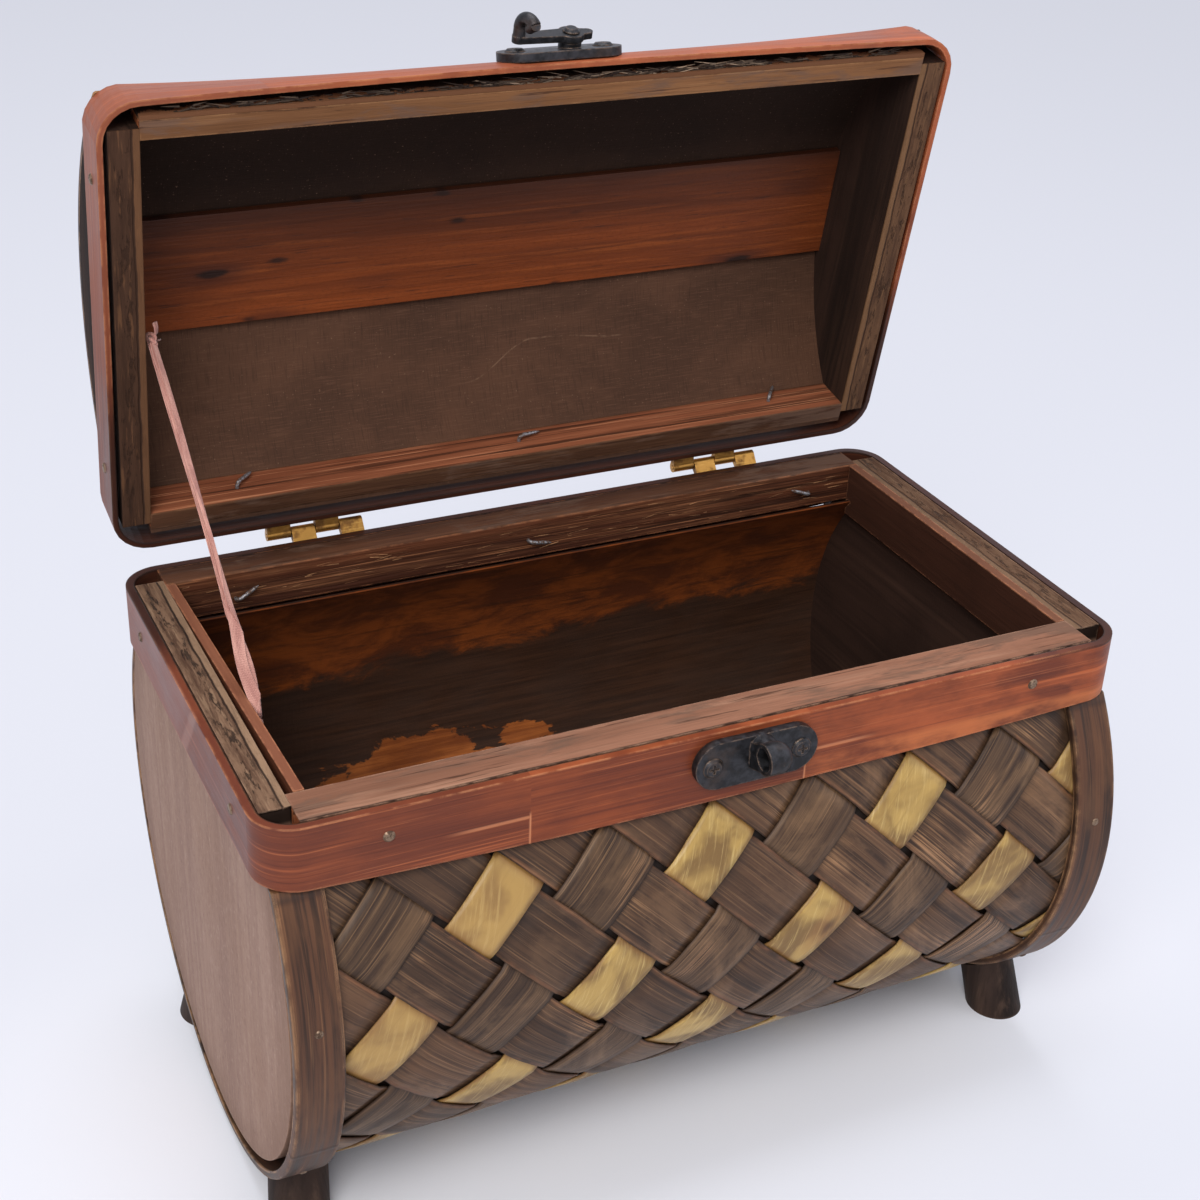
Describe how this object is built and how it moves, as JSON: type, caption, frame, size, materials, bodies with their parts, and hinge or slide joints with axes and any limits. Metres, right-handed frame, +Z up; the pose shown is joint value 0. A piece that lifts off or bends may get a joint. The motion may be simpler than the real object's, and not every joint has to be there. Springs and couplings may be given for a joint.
{
  "type": "ditty box",
  "caption": "Barrel-bodied woven wooden ditty box with a domed hinged lid, swinging hook latch, ribbon stay and splayed dowel feet.",
  "frame": {"origin": "on the table, under the middle of the box's length and of its reach from the barrel's front to the open lid's back", "axes": "+X along the box to its right end, -Y the front with the latch, +Z up"},
  "size_m": [0.2733, 0.198, 0.3246],
  "materials": {
    "end_ply": "smoked plywood, satin",
    "body_liner": "stained bent ply, matt, blotched",
    "lid_liner": "dark cloth-grained veneer, matt",
    "batten_wood": "rough sawn pine, stained",
    "slat_wood": "red-brown stained pine, satin",
    "red_band": "red-brown lacquered veneer, worn edges",
    "gold_strip": "gold-dyed wood strip, satin",
    "dark_strip": "dark-dyed wood strip, matt",
    "binding_strip": "split bamboo, satin",
    "foot_wood": "dark-stained dowel",
    "dark_metal": "dark antique bronze",
    "hinge_brass": "lacquered brass, tarnished",
    "ribbon": "dusty pink satin"
  },
  "bodies": {
    "base": {"base_end_panel_left": "end_ply", "base_end_panel_right": "end_ply", "base_liner": "body_liner", "base_batten_front": "batten_wood", "base_batten_back": "batten_wood", "base_side_strip_left": "batten_wood", "base_side_strip_right": "batten_wood", "base_weave_gold": "gold_strip", "base_weave_dark": "dark_strip", "base_weave_falling": "dark_strip", "base_edge_strip_left": "binding_strip", "base_edge_strip_right": "binding_strip", "base_rim_band": "red_band", "base_band_nails": "dark_metal", "foot_front_left": "foot_wood", "foot_front_right": "foot_wood", "foot_back_left": "foot_wood", "foot_back_right": "foot_wood", "keeper_plate": "dark_metal", "keeper_screws": "dark_metal", "hinge_leaf_base_left": "hinge_brass", "hinge_leaf_base_right": "hinge_brass", "hinge_pin_left": "hinge_brass", "hinge_pin_right": "hinge_brass", "hinge_screws_base": "hinge_brass", "stay_ribbon": "ribbon", "ribbon_tack": "ribbon"},
    "lid": {"lid_end_panel_left": "end_ply", "lid_end_panel_right": "end_ply", "lid_liner": "lid_liner", "lid_batten_front": "batten_wood", "lid_batten_back": "batten_wood", "lid_crown_slat": "slat_wood", "lid_weave_gold": "gold_strip", "lid_weave_dark": "dark_strip", "lid_weave_falling": "dark_strip", "lid_edge_strip_left": "binding_strip", "lid_edge_strip_right": "binding_strip", "lid_rim_band": "red_band", "lid_band_nails": "dark_metal", "latch_plate": "dark_metal", "latch_screws": "dark_metal", "latch_rivet": "dark_metal", "hinge_leaf_lid_left": "hinge_brass", "hinge_leaf_lid_right": "hinge_brass", "hinge_screws_lid": "hinge_brass", "ribbon_knot": "ribbon"},
    "hook": {"latch_hook": "dark_metal"}
  },
  "joints": [
    {"name": "lid_hinge", "type": "hinge", "parent": "base", "child": "lid", "pos_m": [0.0021, 0.0682, 0.15978], "axis": [1, 0, 0], "range_deg": [0, 78.9], "deforming": ["stay_ribbon"]},
    {"name": "hook_swivel", "type": "hinge", "parent": "lid", "child": "hook", "pos_m": [0.0051, 0.04811, 0.31002], "axis": [0, -0.1925, 0.9813], "range_deg": [0, 71]}
  ]
}
